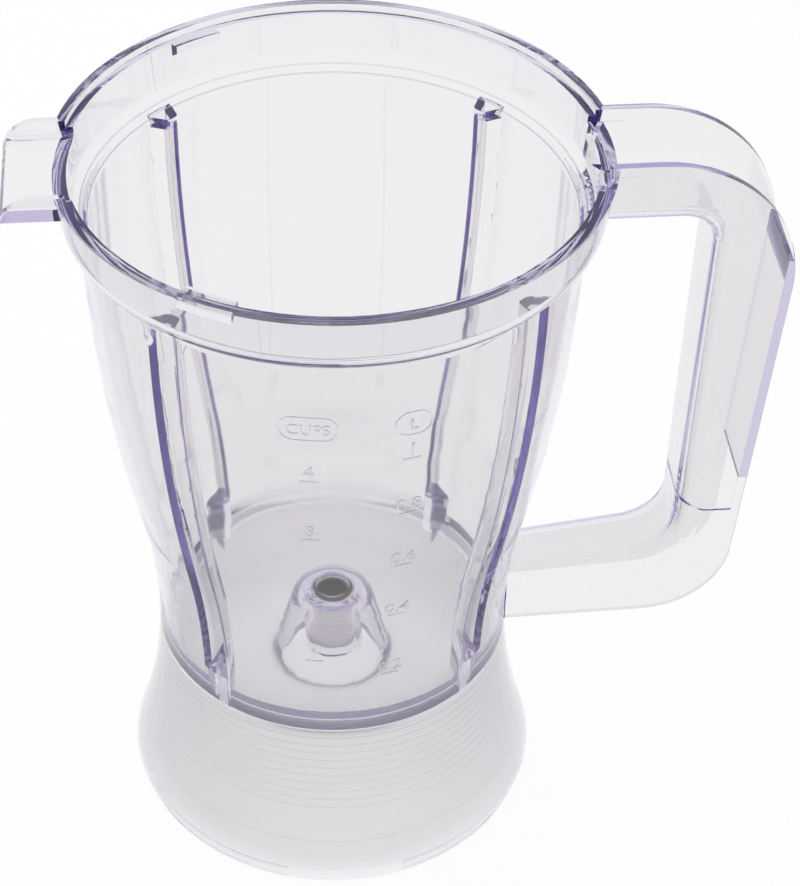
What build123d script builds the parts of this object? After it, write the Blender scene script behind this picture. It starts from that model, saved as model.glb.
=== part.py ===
"""Blender jar: one clear moulding with handle, spout and hollow foot, and a metal bush for the knife shaft.

Millimetres. The origin is on the jar's axis in the plane it stands on, +Z is up, the handle points along +X
and the spout along -X.
"""
import os

from build123d import *

# Rim and collar, where the lid locks on
height = 211.5
rim_radius = 70.6
belt_radius = 68.4
collar_height = 15.0
collar_wall = 3.0
rim_ridge_width = 2.4
lid_seat_width = 1.9
lid_seat_drop = 1.8
lug_count = 3
lug_arc = 12.0
lug_reach = 2.4
lug_height = 2.0

# Body: a tulip curve from the shoulder down to the waist
wall = 2.3
shoulder_drop = 3.6
shoulder_fillet = 3.5
belt_fillet = 6.5
ledge_rise = 1.5
ledge_run_rise = 1.0
ledge_fillet = 2.5
shoulder_radius = 63.8
mid_rise = 39.5
mid_radius = 53.7
waist_height = 60.5
waist_radius = 49.4

# Rounded floor with the bell that carries the shaft bush
floor_depth = 21.0
floor_flat_width = 3.6
floor_wall = 2.3
bell_height = 23.5
bell_foot_radius = 17.0
bell_top_radius = 10.5
bell_dome_fillet = 6.0
bell_foot_fillet = 2.5
bell_wall = 2.3
bell_hole_radius = 4.9
bush_lip = 2.2
sleeve_wall = 1.6
sleeve_overrun = 2.5

# Shaft bush, pushed up into the bell from below
bush_length = 15.0
bush_radius = 6.2
bush_bore_radius = 4.0
bush_chamfer = 0.5
bush_clearance = 0.05

# Skirt below the waist, open at the bottom
skirt_wall = 2.1
skirt_radius = 58.5
skirt_edge_height = 4.5
skirt_foot_radius = 57.2
skirt_fork_drop = 7.5
foot_count = 4
foot_arc = 34.0
foot_height = 0.7

# Folded ribs between the four panels of the body
handle_rib_angle = 43.5
spout_rib_angle = 134.0
rib_width = 8.0
rib_depth = 5.0
rib_tip_width = 3.2
rib_tip_fillet = 1.4
rib_top_rise = 2.3
groove_width = 5.8
groove_depth = 5.2
groove_bed_width = 1.6
groove_bed_fillet = 0.5
groove_lip_width = 3.6
groove_lip_fillet = 4.0
groove_foot_rise = 4.0
groove_foot_run = 10.0
groove_top_drop = 1.5

# Spout, an open channel across the rim
spout_half_width = 18.0
spout_reach = 11.6
spout_depth = 6.4
spout_lip_run = 9.0
spout_wall = 2.0
spout_root = 5.0
spout_inner_fillet = 2.0

# Handle, a hollow loop: side outline in the XZ plane, tapered in width
handle_wall = 2.2
handle_top_half_width = 14.3
handle_low_half_width = 11.4
handle_top_reach = 119.2
handle_low_reach = 109.3
handle_low_height = 58.6
handle_low_slope = 2.0
handle_top_bend = 37.0
handle_low_bend = 24.0
handle_top_leg = 18.0
handle_low_leg = 20.4
grip_top_depth = 23.3
grip_low_depth = 15.1
window_low_slope = 6.9
window_top_bend = 9.0
window_low_bend = 14.0
handle_edge_fillet = 6.0
hollow_corner_fillet = 6.0
core_meet_rise = 12.7
core_step = 0.3
grip_wall_drop = 31.5
grip_wall_lift = 14.3
mouth_drop = 3.5

# Construction values
overcut = 4.0
root_overlap = 1.0
pick_margin = 0.05

belt_height = height - collar_height
shoulder_height = belt_height - shoulder_drop
mid_height = waist_height + mid_rise
floor_height = waist_height - floor_depth
floor_flat_radius = bell_foot_radius + floor_flat_width
bell_top = floor_height + bell_height
collar_inner_radius = belt_radius - collar_wall
seat_radius = rim_radius - rim_ridge_width
seat_inner_radius = seat_radius - lid_seat_width
seat_height = height - lid_seat_drop
bush_top = bell_top - bush_lip
bush_foot = bush_top - bush_length
sleeve_bore = bush_radius + bush_clearance
sleeve_radius = sleeve_bore + sleeve_wall
sleeve_foot = bush_foot - sleeve_overrun
rib_top = shoulder_height + rib_top_rise
rib_angles = (handle_rib_angle, spout_rib_angle, -spout_rib_angle, -handle_rib_angle)
spout_tip = rim_radius + spout_reach
handle_root = waist_radius - wall
handle_foot = handle_low_height - handle_low_slope - overcut
window_top_height = height - handle_top_leg
window_top_reach = handle_top_reach - grip_top_depth
window_low_height = handle_low_height + handle_low_leg
window_low_reach = handle_low_reach - grip_low_depth
core_meet = window_low_height + core_meet_rise
low_wall = handle_wall + core_step
grip_wall_top = height - grip_wall_drop
grip_wall_foot = core_meet + grip_wall_lift


def body_curve(inset):
    """Draw the tulip curve of the wall from waist to shoulder, moved inwards by inset; return its top arc."""
    low = TangentArc(
        (waist_radius - inset, waist_height),
        (mid_radius - inset, mid_height),
        tangent=(0, 1),
    )
    return TangentArc(low @ 1, (shoulder_radius - inset, shoulder_height), tangent=low % 1)


def skirt_curve(inset):
    """Draw the flare of the skirt, from the waist down to its widest ring, moved inwards by inset."""
    TangentArc(
        (waist_radius - inset, waist_height),
        (skirt_radius - inset, skirt_edge_height),
        tangent=(0, -1),
    )


def bowl_curve(thickness):
    """Draw the rounded floor, from its flat middle up to the waist, grown outwards by thickness."""
    TangentArc(
        (floor_flat_radius, floor_height - thickness),
        (waist_radius - wall + thickness, waist_height),
        tangent=(1, 0),
    )


def grip_outer(level):
    """Return the reach of the grip's outer face at a height."""
    share = (level - handle_low_height) / (height - handle_low_height)
    return handle_low_reach + share * (handle_top_reach - handle_low_reach)


def grip_inner(level):
    """Return the reach of the grip's inner face at a height."""
    share = (level - window_low_height) / (window_top_height - window_low_height)
    return window_low_reach + share * (window_top_reach - window_low_reach)


def taper_outline(inset):
    """Draw the handle's end view, between its two tapered sides, each moved inwards by inset."""
    Polyline(
        (handle_low_half_width - inset, handle_foot),
        (handle_top_half_width - inset, height + overcut),
        (inset - handle_top_half_width, height + overcut),
        (inset - handle_low_half_width, handle_foot),
        close=True,
    )


# The filled outer form of collar, body and skirt
with BuildPart() as jar_outside:
    with BuildSketch(Plane.XZ):
        with BuildLine():
            skirt_curve(0)
            body_curve(0)
            FilletPolyline(
                (shoulder_radius, shoulder_height),
                (belt_radius, belt_height),
                (rim_radius, height),
                (0, height),
                radius=(belt_fillet, 0),
            )
            Polyline(
                (0, height),
                (0, 0),
                (skirt_foot_radius, 0),
                (skirt_radius, skirt_edge_height),
            )
        make_face()
    revolve(axis=Axis.Z)
    shoulder_edges = jar_outside.edges().filter_by_position(
        Axis.Z, shoulder_height - pick_margin, shoulder_height + pick_margin
    )
    fillet(shoulder_edges, shoulder_fillet)

# The space inside the jar, around the bell and up past the rim
with BuildPart() as jar_inside:
    with BuildSketch(Plane.XZ):
        with BuildLine():
            body_curve(wall)
            bowl_curve(0)
            FilletPolyline(
                (shoulder_radius - wall, shoulder_height),
                (shoulder_radius - wall, shoulder_height + ledge_rise),
                (collar_inner_radius, belt_height + ledge_run_rise),
                (seat_inner_radius, seat_height),
                radius=(ledge_fillet, belt_fillet - collar_wall),
            )
            Polyline(
                (seat_inner_radius, seat_height),
                (seat_radius, seat_height),
                (seat_radius, height + overcut),
                (0, height + overcut),
                (0, bell_top),
            )
            FilletPolyline(
                (0, bell_top),
                (bell_top_radius, bell_top),
                (bell_foot_radius, floor_height),
                (floor_flat_radius, floor_height),
                radius=(bell_dome_fillet, bell_foot_fillet),
            )
        make_face()
    revolve(axis=Axis.Z)

# The space under the floor: the skirt less the bowl, then the bell less the sleeve that holds the bush
with BuildPart() as jar_underside:
    with BuildSketch(Plane.XZ):
        with BuildLine():
            skirt_curve(skirt_wall)
            Polyline(
                (waist_radius - skirt_wall, waist_height),
                (0, waist_height),
                (0, -overcut),
                (skirt_foot_radius - skirt_wall, -overcut),
                (skirt_foot_radius - skirt_wall, 0),
                (skirt_radius - skirt_wall, skirt_edge_height),
            )
        make_face()
    revolve(axis=Axis.Z)
    split(bisect_by=Plane.XY.offset(waist_height - skirt_fork_drop), keep=Keep.BOTTOM)
    with BuildSketch(Plane.XZ):
        with BuildLine():
            bowl_curve(floor_wall)
            Polyline(
                (waist_radius - wall + floor_wall, waist_height),
                (waist_radius - wall + floor_wall, height),
                (0, height),
                (0, floor_height - floor_wall),
                (floor_flat_radius, floor_height - floor_wall),
            )
        make_face()
    revolve(axis=Axis.Z, mode=Mode.SUBTRACT)
    with BuildSketch(Plane.XZ):
        with BuildLine():
            FilletPolyline(
                (0, floor_height - floor_wall - root_overlap),
                (bell_foot_radius - bell_wall, floor_height - floor_wall - root_overlap),
                (bell_top_radius - bell_wall, bell_top - bell_wall),
                (0, bell_top - bell_wall),
                radius=(0, 0, bell_dome_fillet - bell_wall, 0),
                close=True,
            )
        make_face()
    revolve(axis=Axis.Z)
    with BuildSketch(Plane.XY.offset(sleeve_foot)):
        Circle(sleeve_radius)
    extrude(amount=bell_top - sleeve_foot, mode=Mode.SUBTRACT)
    with BuildSketch(Plane.XY.offset(bush_top)):
        Circle(sleeve_bore)
    extrude(amount=sleeve_foot - bush_top)
    with BuildSketch(Plane.XY.offset(bush_top - root_overlap)):
        Circle(bell_hole_radius)
    extrude(amount=bush_lip + root_overlap + overcut)

# One rib: a fold with a rounded tip on the inside of the wall, running down into the floor
with BuildPart() as rib_fin:
    with BuildLine(Plane.XZ) as rib_path:
        Line((waist_radius - wall, floor_height), (waist_radius - wall, waist_height))
        rib_arc = body_curve(wall)
        Line(rib_arc @ 1, (rib_arc @ 1) + (rib_arc % 1) * (rib_top_rise + overcut))
    with BuildSketch(Plane.XY.offset(floor_height)):
        with BuildLine():
            FilletPolyline(
                (waist_radius - wall + root_overlap, rib_width / 2),
                (waist_radius - wall, rib_width / 2),
                (waist_radius - wall - rib_depth, rib_tip_width / 2),
                (waist_radius - wall - rib_depth, -rib_tip_width / 2),
                (waist_radius - wall, -rib_width / 2),
                (waist_radius - wall + root_overlap, -rib_width / 2),
                radius=(0, 0, rib_tip_fillet, rib_tip_fillet, 0, 0),
                close=True,
            )
        make_face()
    sweep(path=rib_path.line)
    with BuildSketch(Plane.XZ):
        with BuildLine():
            body_curve(wall - root_overlap)
            bowl_curve(root_overlap)
            Polyline(
                (shoulder_radius - wall + root_overlap, shoulder_height),
                (shoulder_radius - wall + root_overlap, rib_top),
                (0, rib_top),
                (0, floor_height - root_overlap),
                (floor_flat_radius, floor_height - root_overlap),
            )
        make_face()
    revolve(axis=Axis.Z, mode=Mode.INTERSECT)

# The groove behind each rib, open to the outside with soft lips, running out at its lower end
with BuildPart() as rib_groove:
    with BuildLine(Plane.XZ) as groove_path:
        body_curve(0)
    with BuildSketch(Plane.XY.offset(waist_height)):
        with BuildLine():
            FilletPolyline(
                (waist_radius + overcut, groove_width / 2 + groove_lip_width),
                (waist_radius, groove_width / 2 + groove_lip_width),
                (waist_radius, groove_width / 2),
                (waist_radius - groove_depth, groove_bed_width / 2),
                (waist_radius - groove_depth, -groove_bed_width / 2),
                (waist_radius, -groove_width / 2),
                (waist_radius, -groove_width / 2 - groove_lip_width),
                (waist_radius + overcut, -groove_width / 2 - groove_lip_width),
                radius=(
                    0, 0, groove_lip_fillet, groove_bed_fillet,
                    groove_bed_fillet, groove_lip_fillet, 0, 0,
                ),
                close=True,
            )
        make_face()
    sweep(path=groove_path.line)
    split(bisect_by=Plane.XY.offset(shoulder_height - groove_top_drop), keep=Keep.BOTTOM)
    run_out = Plane(
        origin=(waist_radius, 0, waist_height + groove_foot_rise),
        z_dir=(groove_foot_run, 0, groove_depth),
    )
    split(bisect_by=run_out, keep=Keep.TOP)

# The spout's outer form, with a rounded pouring lip
with BuildPart() as spout_form:
    with BuildSketch(Plane.XZ):
        with BuildLine():
            TangentArc(
                (spout_lip_run - spout_tip, height),
                (-spout_tip, height - spout_depth),
                tangent=(-1, 0),
            )
            Polyline(
                (-spout_tip, height - spout_depth),
                (spout_root - rim_radius, height - spout_depth),
                (spout_root - rim_radius, height),
                (spout_lip_run - spout_tip, height),
            )
        make_face()
    extrude(amount=spout_half_width, both=True)

# The channel along the spout, open at the top and at the lip
with BuildPart() as spout_channel:
    with BuildSketch(Plane.YZ.offset(-spout_tip - overcut)):
        with BuildLine():
            FilletPolyline(
                (spout_half_width - spout_wall, height + overcut),
                (spout_half_width - spout_wall, height - spout_depth + spout_wall),
                (spout_wall - spout_half_width, height - spout_depth + spout_wall),
                (spout_wall - spout_half_width, height + overcut),
                radius=(0, spout_inner_fillet, spout_inner_fillet, 0),
                close=True,
            )
        make_face()
    extrude(amount=overcut + spout_reach + rim_radius - seat_inner_radius + 2 * overcut)

# The handle's outer form: a loop with its window, rounded where the fingers go
with BuildPart() as handle_form:
    with BuildSketch(Plane.XZ):
        with BuildLine():
            FilletPolyline(
                (handle_root, height),
                (handle_top_reach, height),
                (handle_low_reach, handle_low_height),
                (handle_root, handle_low_height - handle_low_slope),
                radius=(0, handle_top_bend, handle_low_bend, 0),
                close=True,
            )
        make_face()
        with BuildLine():
            FilletPolyline(
                (handle_root, window_top_height),
                (window_top_reach, window_top_height),
                (window_low_reach, window_low_height),
                (handle_root, window_low_height - window_low_slope),
                radius=(0, window_top_bend, window_low_bend, 0),
                close=True,
            )
        make_face(mode=Mode.SUBTRACT)
    extrude(amount=handle_top_half_width + overcut, both=True)
    with BuildSketch(Plane.YZ):
        with BuildLine():
            taper_outline(0)
        make_face()
    extrude(amount=handle_top_reach + 2 * overcut, mode=Mode.INTERSECT)
    loop_edges = handle_form.edges().filter_by_position(Axis.X, handle_root + overcut, grip_inner(height))
    loop_edges = loop_edges.filter_by_position(
        Axis.Z, window_low_height - window_low_slope - overcut, window_top_height + overcut / 2
    )
    fillet(loop_edges.filter_by(Axis.Y, reverse=True), handle_edge_fillet)

# The upper hollow: an open channel along the top leg that becomes a closed tube in the grip
with BuildPart() as upper_hollow:
    with BuildSketch(Plane.XZ):
        with BuildLine():
            FilletPolyline(
                (handle_root, height + overcut),
                (handle_top_reach + overcut, height + overcut),
                (handle_top_reach + overcut, grip_wall_top),
                (grip_outer(grip_wall_top) - handle_wall, grip_wall_top),
                (grip_outer(core_meet) - handle_wall, core_meet),
                (grip_inner(core_meet) + handle_wall, core_meet),
                (window_top_reach + handle_wall, window_top_height + handle_wall),
                (handle_root, window_top_height + handle_wall),
                radius=(0, 0, 0, 0, 0, hollow_corner_fillet, window_top_bend + handle_wall, 0),
                close=True,
            )
        make_face()
    extrude(amount=handle_top_half_width + overcut, both=True)
    with BuildSketch(Plane.YZ):
        with BuildLine():
            taper_outline(handle_wall)
        make_face()
    extrude(amount=handle_top_reach + 2 * overcut, mode=Mode.INTERSECT)
    upper_edges = upper_hollow.edges().filter_by(Axis.Y, reverse=True)
    upper_edges = upper_edges.filter_by_position(
        Axis.X, handle_root + overcut, window_top_reach + 2 * handle_wall
    )
    upper_edges = upper_edges.filter_by_position(Axis.Z, core_meet, window_top_height + 2 * handle_wall)
    fillet(upper_edges, handle_edge_fillet - handle_wall)
    add(jar_outside.part, mode=Mode.SUBTRACT)

# The lower hollow: open underneath and round the lower corner, a step narrower than the upper one
with BuildPart() as lower_hollow:
    with BuildSketch(Plane.XZ):
        with BuildLine():
            FilletPolyline(
                (handle_root, handle_foot),
                (handle_top_reach + overcut, handle_foot),
                (handle_top_reach + overcut, grip_wall_foot),
                (grip_inner(grip_wall_foot) + low_wall, grip_wall_foot),
                (window_low_reach + low_wall, window_low_height - low_wall),
                (handle_root, window_low_height - window_low_slope - low_wall),
                radius=(0, 0, 0, 0, window_low_bend + low_wall, 0),
                close=True,
            )
        make_face()
    extrude(amount=handle_top_half_width + overcut, both=True)
    with BuildSketch(Plane.YZ):
        with BuildLine():
            taper_outline(low_wall)
        make_face()
    extrude(amount=handle_top_reach + 2 * overcut, mode=Mode.INTERSECT)
    lower_edges = lower_hollow.edges().filter_by(Axis.Y, reverse=True)
    lower_edges = lower_edges.filter_by_position(
        Axis.X, handle_root + overcut, grip_inner(grip_wall_foot) + 2 * low_wall
    )
    lower_edges = lower_edges.filter_by_position(
        Axis.Z, window_low_height - window_low_slope - 2 * low_wall, grip_wall_foot - overcut
    )
    fillet(lower_edges, handle_edge_fillet - low_wall)
    add(jar_outside.part, mode=Mode.SUBTRACT)

# One of the lugs under the lid seat
with BuildPart() as lid_lug:
    with BuildSketch(Plane.XZ):
        with BuildLine():
            Polyline(
                (seat_inner_radius - lug_reach, seat_height),
                (seat_inner_radius + root_overlap, seat_height),
                (seat_inner_radius + root_overlap, seat_height - lug_height - lug_reach),
                (seat_inner_radius - lug_reach, seat_height - lug_height),
                close=True,
            )
        make_face()
    revolve(axis=Axis.Z, revolution_arc=lug_arc)

# One of the shallow recesses that leave the standing pads between them
with BuildPart() as foot_recess:
    with BuildSketch(Plane.XZ):
        with BuildLine():
            Polyline(
                (skirt_foot_radius - skirt_wall - overcut, -overcut),
                (skirt_radius + overcut, -overcut),
                (skirt_radius + overcut, foot_height),
                (skirt_foot_radius - skirt_wall - overcut, foot_height),
                close=True,
            )
        make_face()
    revolve(axis=Axis.Z, revolution_arc=360 / foot_count - foot_arc)

# The jar: the filled forms joined, then hollowed, then ribs, grooves and lugs
with BuildPart() as jar_body:
    add(jar_outside.part)
    add(handle_form.part)
    add(spout_form.part)
    add(jar_inside.part, mode=Mode.SUBTRACT)
    add(jar_underside.part, mode=Mode.SUBTRACT)
    for angle in rib_angles:
        add(rib_fin.part.rotate(Axis.Z, angle))
    for angle in rib_angles:
        add(rib_groove.part.rotate(Axis.Z, angle), mode=Mode.SUBTRACT)
    add(upper_hollow.part, mode=Mode.SUBTRACT)
    add(lower_hollow.part, mode=Mode.SUBTRACT)
    add(spout_channel.part, mode=Mode.SUBTRACT)
    for index in range(lug_count):
        add(lid_lug.part.rotate(Axis.Z, 360 / lug_count * index - lug_arc / 2))
    with BuildSketch(Plane.XY.offset(height - mouth_drop)):
        with Locations((seat_inner_radius, 0)):
            Rectangle(
                2 * (rim_radius - seat_inner_radius) + 2 * overcut,
                2 * (handle_top_half_width - handle_wall),
            )
    extrude(amount=mouth_drop + overcut, mode=Mode.SUBTRACT)
    for index in range(foot_count):
        add(foot_recess.part.rotate(Axis.Z, 360 / foot_count * index + foot_arc / 2), mode=Mode.SUBTRACT)

# The bush that the knife shaft turns in
with BuildPart() as shaft_bush:
    with BuildSketch(Plane.XZ):
        with BuildLine():
            Polyline(
                (bush_bore_radius, bush_foot),
                (bush_radius - bush_chamfer, bush_foot),
                (bush_radius, bush_foot + bush_chamfer),
                (bush_radius, bush_top - bush_chamfer),
                (bush_radius - bush_chamfer, bush_top),
                (bush_bore_radius, bush_top),
                close=True,
            )
        make_face()
    revolve(axis=Axis.Z)

jar_body.part.label = "jar_body"
shaft_bush.part.label = "shaft_bush"

os.makedirs("parts", exist_ok=True)
export_step(jar_body.part, "parts/jar_body.step")
export_step(shaft_bush.part, "parts/shaft_bush.step")
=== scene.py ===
import math

import bmesh
import bpy
from mathutils import Matrix, Vector
from mathutils.bvhtree import BVHTree


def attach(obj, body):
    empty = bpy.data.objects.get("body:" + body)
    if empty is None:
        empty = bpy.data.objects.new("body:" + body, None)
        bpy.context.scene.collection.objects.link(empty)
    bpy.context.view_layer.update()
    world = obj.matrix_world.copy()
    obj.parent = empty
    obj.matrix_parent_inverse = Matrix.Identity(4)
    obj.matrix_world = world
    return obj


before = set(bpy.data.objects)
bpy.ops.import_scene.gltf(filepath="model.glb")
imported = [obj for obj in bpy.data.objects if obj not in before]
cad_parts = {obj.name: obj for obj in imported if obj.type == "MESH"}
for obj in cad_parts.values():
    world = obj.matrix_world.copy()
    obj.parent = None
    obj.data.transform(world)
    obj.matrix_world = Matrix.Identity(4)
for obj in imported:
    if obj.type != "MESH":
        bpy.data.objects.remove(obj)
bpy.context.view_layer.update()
scene = bpy.context.scene

# The moulded jar: collar, waisted body, skirt, spout and handle in one shot of clear, faintly violet plastic.
# The mould is polished where the walls show, the bell too; the hollow under the bowl and in the skirt is matt.
plastic_ior = 1.57
violet_tint = (0.15, 0.0, 0.58, 1.0)
tint_density = 16.0
wall_colours = ((0.892, 0.886, 0.878), (0.922, 0.916, 0.908))
wall_roughness = (0.01, 0.05)
flow_scale = 14.0
skirt_colour = (0.95, 0.94, 0.95)
floor_colour = (0.985, 0.98, 0.985)
matt_roughness = (0.32, 0.42)
grain_scale = 900.0
noise_detail = 2.0
bowl_flat_radius = 0.0206
bowl_centre_height = 0.0667
bowl_middle_radius = 0.02835
skirt_top = 0.0605
skirt_top_middle = 0.0484
skirt_flare = 0.0100
skirt_edge = 0.0045
skirt_inside = 0.0440
floor_zone_top = 0.0640
fork_inside = 0.0440
fork_foot = 0.0525
blend_width = 0.0004

# A mix node's colour sockets share their names with its number sockets, so they are taken by their place.
mix_colours = slice(6, 8)
mix_result = 2


def add_node(tree, kind, **values):
    """Add a shader node and set its plain values, by property or by socket name."""
    node = tree.nodes.new(kind)
    for key, value in values.items():
        if hasattr(node, key):
            setattr(node, key, value)
        else:
            node.inputs[key.replace("_", " ")].default_value = value
    return node


def empty_material(name):
    """Start a node material that has an output and nothing else."""
    material = bpy.data.materials.new(name)
    material.use_nodes = True
    material.node_tree.nodes.clear()
    return material, material.node_tree, add_node(material.node_tree, "ShaderNodeOutputMaterial")


def colour_mix(tree, factor, first, second):
    """Add a mix of two colours, each a socket or a plain colour, and return the mixed colour."""
    mix = add_node(tree, "ShaderNodeMix", data_type="RGBA")
    tree.links.new(factor, mix.inputs["Factor"])
    for socket, colour in zip(mix.inputs[mix_colours], (first, second)):
        if isinstance(colour, tuple):
            socket.default_value = (*colour, 1.0)
        else:
            tree.links.new(colour, socket)
    return mix.outputs[mix_result]


def node_group(name, inputs, outputs):
    """Start a shader node group with named sockets, and return it with its two ends."""
    group = bpy.data.node_groups.new(name, "ShaderNodeTree")
    for socket, kind in inputs.items():
        group.interface.new_socket(socket, in_out="INPUT", socket_type=kind)
    for socket, kind in outputs.items():
        group.interface.new_socket(socket, in_out="OUTPUT", socket_type=kind)
    return group, add_node(group, "NodeGroupInput"), add_node(group, "NodeGroupOutput")


def axis_distance_group():
    """Build the group that gives the distance of a point from the jar's upright axis."""
    group, entry, result = node_group(
        "axis_distance", {"Vector": "NodeSocketVector"}, {"Distance": "NodeSocketFloat"}
    )
    flat = add_node(group, "ShaderNodeVectorMath", operation="MULTIPLY")
    flat.inputs[1].default_value = (1.0, 1.0, 0.0)
    distance = add_node(group, "ShaderNodeVectorMath", operation="LENGTH")
    group.links.new(entry.outputs["Vector"], flat.inputs[0])
    group.links.new(flat.outputs[0], distance.inputs[0])
    group.links.new(distance.outputs["Value"], result.inputs["Distance"])
    return group


def moulded_finish_group():
    """Build the group for the slight unevenness of moulded plastic, in its colour and its polish."""
    group, entry, result = node_group(
        "moulded_finish",
        {
            "Vector": "NodeSocketVector",
            "Scale": "NodeSocketFloat",
            "Deep Color": "NodeSocketColor",
            "Pale Color": "NodeSocketColor",
            "Least Roughness": "NodeSocketFloat",
            "Most Roughness": "NodeSocketFloat",
        },
        {"Color": "NodeSocketColor", "Roughness": "NodeSocketFloat"},
    )
    uneven = add_node(group, "ShaderNodeTexNoise", Detail=noise_detail)
    polish = add_node(group, "ShaderNodeMapRange")
    colour = colour_mix(
        group, uneven.outputs["Fac"], entry.outputs["Deep Color"], entry.outputs["Pale Color"]
    )
    group.links.new(entry.outputs["Vector"], uneven.inputs["Vector"])
    group.links.new(entry.outputs["Scale"], uneven.inputs["Scale"])
    group.links.new(uneven.outputs["Fac"], polish.inputs["Value"])
    group.links.new(entry.outputs["Least Roughness"], polish.inputs["To Min"])
    group.links.new(entry.outputs["Most Roughness"], polish.inputs["To Max"])
    group.links.new(colour, result.inputs["Color"])
    group.links.new(polish.outputs["Result"], result.inputs["Roughness"])
    return group


axis_distance = axis_distance_group()
moulded_finish = moulded_finish_group()


def axis_reach(tree, place):
    """Place the group for the distance from the axis, and return that distance."""
    reach = add_node(tree, "ShaderNodeGroup", node_tree=axis_distance)
    tree.links.new(place.outputs["Object"], reach.inputs["Vector"])
    return reach.outputs["Distance"]


def uneven_finish(tree, place, scale, colours, roughness):
    """Place the group for moulded plastic with its own two colours and its own range of roughness."""
    finish = add_node(
        tree, "ShaderNodeGroup", node_tree=moulded_finish, Scale=scale,
        Deep_Color=(*colours[0], 1.0), Pale_Color=(*colours[1], 1.0),
        Least_Roughness=roughness[0], Most_Roughness=roughness[1],
    )
    tree.links.new(place.outputs["Object"], finish.inputs["Vector"])
    return finish


def ramp(tree, value, start, end):
    """Add a straight step from 0 at start to 1 at end."""
    step = add_node(tree, "ShaderNodeMapRange", From_Min=start, From_Max=end)
    tree.links.new(value, step.inputs["Value"])
    return step.outputs["Result"]


def math_node(tree, operation, first, second):
    """Add one operation on two values, each a socket or a plain number."""
    node = add_node(tree, "ShaderNodeMath", operation=operation)
    for socket, value in zip(node.inputs, (first, second)):
        if isinstance(value, float):
            socket.default_value = value
        else:
            tree.links.new(value, socket)
    return node.outputs[0]


def times(tree, first, second):
    """Add the product of two values."""
    return math_node(tree, "MULTIPLY", first, second)


def minus(tree, first, second):
    """Add the difference of two values."""
    return math_node(tree, "SUBTRACT", first, second)


def give_material(node, material):
    """Give a CAD node one material in place of its own."""
    node.data.materials.clear()
    node.data.materials.append(material)


clear_plastic, tree, output = empty_material("clear_plastic")
surface = add_node(tree, "ShaderNodeBsdfPrincipled", IOR=plastic_ior, Transmission_Weight=1.0)
tint = add_node(tree, "ShaderNodeVolumeAbsorption", Color=violet_tint, Density=tint_density)
place = add_node(tree, "ShaderNodeTexCoord")
upright = add_node(tree, "ShaderNodeSeparateXYZ")
link = tree.links.new
link(place.outputs["Object"], upright.inputs["Vector"])
level = upright.outputs["Z"]
reach = axis_reach(tree, place)

# The matt faces lie under the bowl's middle line and inside the skirt's, clear of the fork where the two part.
past_flat = math_node(tree, "MAXIMUM", minus(tree, reach, bowl_flat_radius), 0.0)
under_centre = minus(tree, bowl_centre_height, level)
bowl_square = math_node(
    tree, "ADD", times(tree, past_flat, past_flat), times(tree, under_centre, under_centre)
)
bowl_reach = math_node(tree, "SQRT", bowl_square, 0.0)
below_bowl = ramp(tree, bowl_reach, bowl_middle_radius - blend_width, bowl_middle_radius + blend_width)

skirt_drop = math_node(tree, "DIVIDE", minus(tree, skirt_top, level), skirt_top)
flare = times(tree, times(tree, skirt_drop, skirt_drop), skirt_flare)
skirt_depth = minus(tree, math_node(tree, "ADD", flare, skirt_top_middle), reach)
skirt_span = times(
    tree,
    ramp(tree, level, skirt_top, skirt_top - blend_width),
    ramp(tree, level, skirt_edge - blend_width, skirt_edge),
)
in_skirt = times(tree, ramp(tree, skirt_depth, -blend_width, blend_width), skirt_span)
clear_of_fork = math_node(
    tree, "MAXIMUM",
    ramp(tree, reach, fork_inside, fork_inside - blend_width),
    ramp(tree, level, fork_foot, fork_foot - blend_width),
)
matt = times(tree, times(tree, below_bowl, in_skirt), clear_of_fork)
floor_zone = times(
    tree,
    ramp(tree, reach, skirt_inside + blend_width, skirt_inside),
    ramp(tree, level, floor_zone_top + blend_width, floor_zone_top),
)

wall_finish = uneven_finish(tree, place, flow_scale, wall_colours, wall_roughness)
matt_finish = uneven_finish(tree, place, grain_scale, (skirt_colour, skirt_colour), matt_roughness)
jar_polish = add_node(tree, "ShaderNodeMapRange")
link(matt, jar_polish.inputs["Value"])
link(wall_finish.outputs["Roughness"], jar_polish.inputs["To Min"])
link(matt_finish.outputs["Roughness"], jar_polish.inputs["To Max"])
low_zone = math_node(tree, "MAXIMUM", matt, floor_zone)
low_colour = colour_mix(tree, floor_zone, matt_finish.outputs["Color"], floor_colour)
jar_colour = colour_mix(tree, low_zone, wall_finish.outputs["Color"], low_colour)
link(jar_colour, surface.inputs["Base Color"])
link(jar_polish.outputs["Result"], surface.inputs["Roughness"])
link(surface.outputs["BSDF"], output.inputs["Surface"])
link(tint.outputs["Volume"], output.inputs["Volume"])
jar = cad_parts["jar_body"]
give_material(jar, clear_plastic)

# The shaft bush: a turned sleeve of pale sintered metal, pushed up into the bell from below.
# Its bore and the inner edge of its top, where the shaft runs, are painted near-black: painted shade in the
# bore.
painted_shade_edge = 0.0046
painted_shade_blend = 0.0003
painted_shade_colour = (0.022, 0.009, 0.007)
bush_colours = ((0.78, 0.77, 0.78), (0.83, 0.82, 0.83))
bush_roughness = (0.20, 0.30)
bush_gloss = 0.05
turning_scale = 400.0
turning_wander = 2.0

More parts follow.
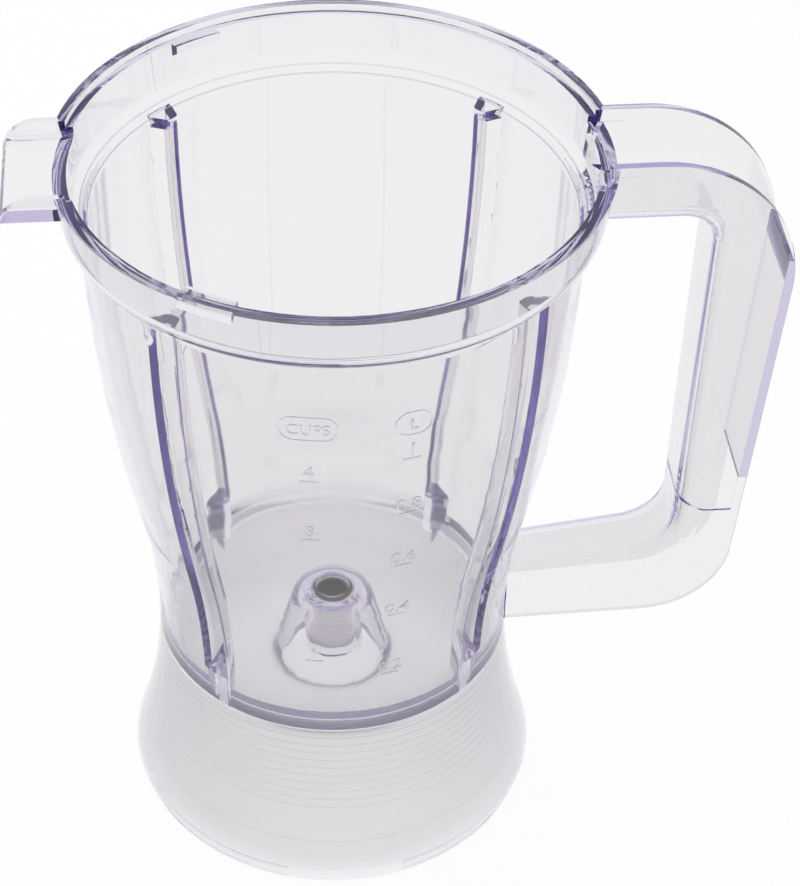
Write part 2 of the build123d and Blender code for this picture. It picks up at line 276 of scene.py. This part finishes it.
bush_metal, tree, output = empty_material("bush_metal")
surface = add_node(tree, "ShaderNodeBsdfPrincipled", Specular_IOR_Level=bush_gloss)
place = add_node(tree, "ShaderNodeTexCoord")
turning = add_node(
    tree, "ShaderNodeTexWave", bands_direction="Z", Scale=turning_scale, Distortion=turning_wander
)
metal_polish = add_node(tree, "ShaderNodeMapRange", To_Min=bush_roughness[0], To_Max=bush_roughness[1])
# Inside this radius the bore is painted near-black and not metallic: painted shade, where the outer face is
# bare metal.
outside_painted_shade = ramp(tree, axis_reach(tree, place), painted_shade_edge, painted_shade_edge + painted_shade_blend)
metal_colour = colour_mix(tree, turning.outputs["Fac"], *bush_colours)
bush_colour = colour_mix(tree, outside_painted_shade, painted_shade_colour, metal_colour)
link = tree.links.new
link(place.outputs["Object"], turning.inputs["Vector"])
link(turning.outputs["Fac"], metal_polish.inputs["Value"])
link(bush_colour, surface.inputs["Base Color"])
link(outside_painted_shade, surface.inputs["Metallic"])
link(metal_polish.outputs["Result"], surface.inputs["Roughness"])
link(surface.outputs["BSDF"], output.inputs["Surface"])
give_material(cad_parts["shaft_bush"], bush_metal)

# The two measuring scales: figures with a stroke under each and a framed unit above, raised on the front panel.
# They are cut into the mould, so they are the same clear plastic as the wall that carries them.
mark_rise = 0.00020
mark_sink = 0.00005
mark_edge = 0.00005
edge_steps = 2
weld_distance = 0.000001
figure_size = 0.0056
unit_size = 0.0046
cap_share = 0.73
stroke_length = 0.0047
stroke_width = 0.0006
stroke_gap = 0.0014
frame_height = 0.0078
frame_width = 0.0005
frame_segments = 48
frame_cuts = 8
straight_share = 0.9
mark_colours = ((0.95, 0.945, 0.955), (0.99, 0.985, 0.995))
mark_roughness = (0.05, 0.14)
wear_scale = 500.0
outside_reach = 0.2
scales = {
    "cups_scale": {
        "azimuth": -99.5,
        "unit": "CUPS",
        "frame_length": 0.0150,
        "frame_level": 0.1735,
        "figure_levels": {"4": 0.1559, "3": 0.1346, "2": 0.1096, "1": 0.0825},
    },
    "litre_scale": {
        "azimuth": -76.2,
        "unit": "L",
        "frame_length": 0.0097,
        "frame_level": 0.1733,
        "figure_levels": {"1": 0.1617, "0.8": 0.1424, "0.6": 0.1221, "0.4": 0.1006, "0.2": 0.0751},
    },
}
wall_faces = BVHTree.FromObject(jar, bpy.context.evaluated_depsgraph_get())

raised_mark, tree, output = empty_material("raised_mark")
surface = add_node(tree, "ShaderNodeBsdfPrincipled", IOR=plastic_ior, Transmission_Weight=1.0)
place = add_node(tree, "ShaderNodeTexCoord")
mark_finish = uneven_finish(tree, place, wear_scale, mark_colours, mark_roughness)
link = tree.links.new
link(mark_finish.outputs["Color"], surface.inputs["Base Color"])
link(mark_finish.outputs["Roughness"], surface.inputs["Roughness"])
link(surface.outputs["BSDF"], output.inputs["Surface"])


def wall_spot(angle, level):
    """Find the point of the jar's outer face at an angle round the axis and a height."""
    outward = Vector((math.cos(angle), math.sin(angle), 0.0))
    start = outward * outside_reach + Vector((0.0, 0.0, level))
    return wall_faces.ray_cast(start, -outward)[0], outward


def lay_on_wall(shell, azimuth, level):
    """Bend a flat shape, drawn in XY with Z outwards, onto the outer face of the jar."""
    middle = math.radians(azimuth)
    radius = wall_spot(middle, level)[0].xy.length
    for vert in shell.verts:
        spot, outward = wall_spot(middle + vert.co.x / radius, level + vert.co.y)
        vert.co = spot + outward * vert.co.z


def raised_words(words, size):
    """Make figures or letters as one raised shape, centred on their base line."""
    curve = bpy.data.curves.new("words", "FONT")
    curve.body = words
    curve.align_x = "CENTER"
    curve.extrude = (mark_rise + mark_sink) / 2 / size - mark_edge / size
    curve.bevel_depth = mark_edge / size
    curve.bevel_resolution = 1
    curve.offset = -mark_edge / size
    block = bpy.data.objects.new("words", curve)
    mesh = bpy.data.meshes.new_from_object(block)
    shell = bmesh.new()
    shell.from_mesh(mesh)
    bpy.data.objects.remove(block)
    bpy.data.curves.remove(curve)
    bpy.data.meshes.remove(mesh)
    bmesh.ops.scale(shell, vec=(size,) * 3, verts=shell.verts)
    bmesh.ops.translate(shell, vec=(0.0, 0.0, (mark_rise - mark_sink) / 2), verts=shell.verts)
    bmesh.ops.remove_doubles(shell, verts=shell.verts, dist=weld_distance)
    return shell


def raised_bar(length, width, cuts=0):
    """Make a thin raised bar along X with softened edges, cut across where it has to follow a curve."""
    shell = bmesh.new()
    bmesh.ops.create_cube(shell, size=1.0)
    bmesh.ops.scale(shell, vec=(length, width, mark_rise + mark_sink), verts=shell.verts)
    bmesh.ops.translate(shell, vec=(0.0, 0.0, (mark_rise - mark_sink) / 2), verts=shell.verts)
    bmesh.ops.bevel(
        shell, geom=shell.edges[:], offset=mark_edge, affect="EDGES",
        segments=edge_steps, profile=0.5, material=-1,
    )
    if cuts:
        long_edges = [edge for edge in shell.edges if edge.calc_length() > length / 2]
        bmesh.ops.subdivide_edges(shell, edges=long_edges, cuts=cuts, use_grid_fill=True)
    return shell


def raised_frame(length):
    """Make the thin raised oval that frames a unit."""
    straight_length = length - frame_height
    shell = bmesh.new()
    bmesh.ops.create_circle(shell, cap_ends=True, segments=frame_segments, radius=frame_height / 2)
    for vert in shell.verts:
        vert.co.x += math.copysign(straight_length / 2, vert.co.x)
    rim = bmesh.ops.inset_region(
        shell, faces=shell.faces[:], thickness=frame_width, use_boundary=True, use_even_offset=True
    )
    inner = [face for face in shell.faces if face not in rim["faces"]]
    bmesh.ops.delete(shell, geom=inner, context="FACES_ONLY")
    raised = bmesh.ops.extrude_face_region(shell, geom=shell.faces[:], use_keep_orig=True)
    lifted = [item for item in raised["geom"] if isinstance(item, bmesh.types.BMVert)]
    bmesh.ops.translate(shell, vec=(0.0, 0.0, mark_rise + mark_sink), verts=lifted)
    bmesh.ops.translate(shell, vec=(0.0, 0.0, -mark_sink), verts=shell.verts)
    bmesh.ops.recalc_face_normals(shell, faces=shell.faces)
    straight = [edge for edge in shell.edges if edge.calc_length() > straight_length * straight_share]
    bmesh.ops.subdivide_edges(shell, edges=straight, cuts=frame_cuts, use_grid_fill=True)
    return shell


def add_shell(whole, shell):
    """Add one finished shape to the mesh of the group it belongs to."""
    mesh = bpy.data.meshes.new("shape")
    shell.to_mesh(mesh)
    shell.free()
    whole.from_mesh(mesh)
    bpy.data.meshes.remove(mesh)


def finish_mark(name, whole):
    """Turn a finished bmesh into a piece of the moulding that rides on the jar."""
    mesh = bpy.data.meshes.new(name)
    whole.to_mesh(mesh)
    whole.free()
    mesh.materials.append(raised_mark)
    piece = bpy.data.objects.new(name, mesh)
    scene.collection.objects.link(piece)
    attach(piece, "root")


for name, scale in scales.items():
    whole = bmesh.new()
    azimuth = scale["azimuth"]
    oval = raised_frame(scale["frame_length"])
    lay_on_wall(oval, azimuth, scale["frame_level"])
    add_shell(whole, oval)
    letters = raised_words(scale["unit"], unit_size)
    lay_on_wall(letters, azimuth, scale["frame_level"] - unit_size * cap_share / 2)
    add_shell(whole, letters)
    for figure, level in scale["figure_levels"].items():
        figures = raised_words(figure, figure_size)
        lay_on_wall(figures, azimuth, level + stroke_gap)
        add_shell(whole, figures)
        stroke = raised_bar(stroke_length, stroke_width)
        lay_on_wall(stroke, azimuth, level)
        add_shell(whole, stroke)
    finish_mark(name, whole)

# The skirt's rings: fine raised lines round the skirt, one above the other, in the same clear plastic.
# The turned mould leaves them there, and they thin out to almost nothing towards the sides.
front_azimuth = math.radians(-90)
ring_radius = 0.00010
ring_sides = 8
ring_steps = 160
ring_pitch = 0.00277
ring_top = 0.0540
ring_count = 11
lowest_ring = 0.0148
fade_start = math.radians(45)
fade_end = math.radians(70)
least_share = 0.05
ring_levels = [ring_top - step * ring_pitch for step in range(ring_count)] + [lowest_ring]


def fine_ring(radius, level, thickness):
    """Make a thin round ring about the jar's axis; thickness is the radius of its section."""
    ring = bmesh.new()
    bmesh.ops.create_circle(ring, segments=ring_sides, radius=thickness)
    section_place = Matrix.Translation((radius, 0.0, level)) @ Matrix.Rotation(math.radians(90), 4, "X")
    bmesh.ops.transform(ring, matrix=section_place, verts=ring.verts)
    bmesh.ops.spin(
        ring, geom=ring.verts[:] + ring.edges[:], cent=(0.0, 0.0, 0.0), axis=(0.0, 0.0, 1.0),
        angle=math.tau, steps=ring_steps, use_merge=True,
    )
    bmesh.ops.remove_doubles(ring, verts=ring.verts, dist=weld_distance)
    bmesh.ops.recalc_face_normals(ring, faces=ring.faces)
    for face in ring.faces:
        face.smooth = True
    return ring


def thin_out(ring, radius, level):
    """Let the section of a ring shrink from the front towards the sides."""
    for vert in ring.verts:
        side_turn = abs(math.atan2(vert.co.x, -vert.co.y))
        share = min(max((fade_end - side_turn) / (fade_end - fade_start), least_share), 1.0)
        middle = Vector((vert.co.x, vert.co.y, 0.0)).normalized() * radius + Vector((0.0, 0.0, level))
        vert.co = middle + (vert.co - middle) * share


whole = bmesh.new()
for level in ring_levels:
    radius = wall_spot(front_azimuth, level)[0].xy.length
    ring = fine_ring(radius, level, ring_radius)
    thin_out(ring, radius, level)
    add_shell(whole, ring)
finish_mark("skirt_rings", whole)

# The ledge lines: two fine lines round the inside of the collar, along the ledge above the body.
# They are part of the clear moulding and mark the ledge's foot and top on the inner face.
ledge_levels = (0.1942, 0.1960)
ledge_line_radius = 0.00020
to_the_back = Vector((0.0, 1.0, 0.0))

whole = bmesh.new()
for level in ledge_levels:
    inner_face = wall_faces.ray_cast(Vector((0.0, 0.0, level)), to_the_back)[0]
    add_shell(whole, fine_ring(inner_face.xy.length, level, ledge_line_radius))
finish_mark("ledge_lines", whole)

# The parting lines: two hair-thin ridges of the same plastic, straight down the outside of the collar.
# They stand where the halves of the mould met and the plastic crept into the joint.
parting_azimuths = (-108.0, 130.8)
parting_foot = 0.1972
parting_top = 0.2098
parting_width = 0.00022
parting_cuts = 12
quarter_turn = Matrix.Rotation(math.radians(90), 3, "Z")

whole = bmesh.new()
for azimuth in parting_azimuths:
    ridge = raised_bar(parting_top - parting_foot, parting_width, cuts=parting_cuts)
    bmesh.ops.rotate(ridge, matrix=quarter_turn, verts=ridge.verts)
    lay_on_wall(ridge, azimuth, (parting_foot + parting_top) / 2)
    add_shell(whole, ridge)
finish_mark("parting_lines", whole)

# The studio: a white board under the jar, white all round it and a wide soft box overhead.
# The board shows as white as paper wherever it is looked at, and a little dimmer under the jar's foot.
board_size = 4.0
board_colour = (0.9, 0.9, 0.9, 1.0)
board_roughness = 0.9
board_glow = 0.96
shade_radius = 0.0480
shade_fade = 0.0060
shade_share = 0.14
sky_colour = (1.0, 1.0, 1.0, 1.0)
sky_light = 0.7
sky_seen = 1.0
box_size = 1.2
box_power = 6.0
box_place = Vector((-0.3, 0.4, 1.3))
box_aim = Vector((0.0, 0.0, 0.1))


def looked_at(tree):
    """Add a mask that is 1 for what the camera sees, directly, mirrored or through the plastic."""
    path = add_node(tree, "ShaderNodeLightPath")
    seen = math_node(tree, "MAXIMUM", path.outputs["Is Camera Ray"], path.outputs["Is Glossy Ray"])
    return math_node(tree, "MAXIMUM", seen, path.outputs["Is Transmission Ray"])


studio_white, tree, output = empty_material("studio_white")
surface = add_node(tree, "ShaderNodeBsdfPrincipled", Base_Color=board_colour, Roughness=board_roughness)
place = add_node(tree, "ShaderNodeTexCoord")
glow = add_node(tree, "ShaderNodeEmission")
shade = add_node(
    tree, "ShaderNodeMapRange", To_Min=1.0 - shade_share,
    From_Min=shade_radius, From_Max=shade_radius + shade_fade,
)
blend = add_node(tree, "ShaderNodeMixShader")
link = tree.links.new
link(axis_reach(tree, place), shade.inputs["Value"])
link(shade.outputs["Result"], glow.inputs["Strength"])
link(times(tree, looked_at(tree), board_glow), blend.inputs["Fac"])
link(surface.outputs["BSDF"], blend.inputs[1])
link(glow.outputs["Emission"], blend.inputs[2])
link(blend.outputs["Shader"], output.inputs["Surface"])
shell = bmesh.new()
bmesh.ops.create_grid(shell, x_segments=1, y_segments=1, size=board_size)
mesh = bpy.data.meshes.new("studio_floor")
shell.to_mesh(mesh)
shell.free()
mesh.materials.append(studio_white)
floor = bpy.data.objects.new("studio_floor", mesh)
scene.collection.objects.link(floor)

world = bpy.data.worlds.new("studio")
scene.world = world
world.use_nodes = True
tree = world.node_tree
tree.nodes.clear()
output = add_node(tree, "ShaderNodeOutputWorld")
brightness = add_node(tree, "ShaderNodeMapRange", To_Min=sky_light, To_Max=sky_seen)
sky = add_node(tree, "ShaderNodeBackground", Color=sky_colour)
link = tree.links.new
link(looked_at(tree), brightness.inputs["Value"])
link(brightness.outputs["Result"], sky.inputs["Strength"])
link(sky.outputs["Background"], output.inputs["Surface"])

lamp = bpy.data.lights.new("top_box", "AREA")
lamp.shape = "SQUARE"
lamp.size = box_size
lamp.energy = box_power
top_box = bpy.data.objects.new("top_box", lamp)
top_box.location = box_place
top_box.rotation_euler = (box_aim - box_place).to_track_quat("-Z", "Y").to_euler()
top_box.visible_glossy = False
top_box.visible_transmission = False
scene.collection.objects.link(top_box)

# The camera: a long lens in front of the jar, a little to the spout's side, that looks down into the mouth.
# Light crosses many clear walls on its way to it, so the rays may bounce often before they are dropped.
camera_lens = 100.44
camera_sensor = 36.0
camera_shift = 0.0841
camera_place = (-0.0364, -0.5086, 0.5532)
camera_tilt = math.radians(49.34)
camera_turn = math.radians(-3.87)
bounces = 56

camera_data = bpy.data.cameras.new("camera")
camera_data.lens = camera_lens
camera_data.sensor_width = camera_sensor
camera_data.shift_x = camera_shift
camera = bpy.data.objects.new("camera", camera_data)
camera.location = camera_place
camera.rotation_euler = (camera_tilt, 0.0, camera_turn)
scene.collection.objects.link(camera)
scene.camera = camera

scene.cycles.max_bounces = bounces
scene.cycles.glossy_bounces = bounces
scene.cycles.transmission_bounces = bounces
scene.view_settings.view_transform = "Standard"
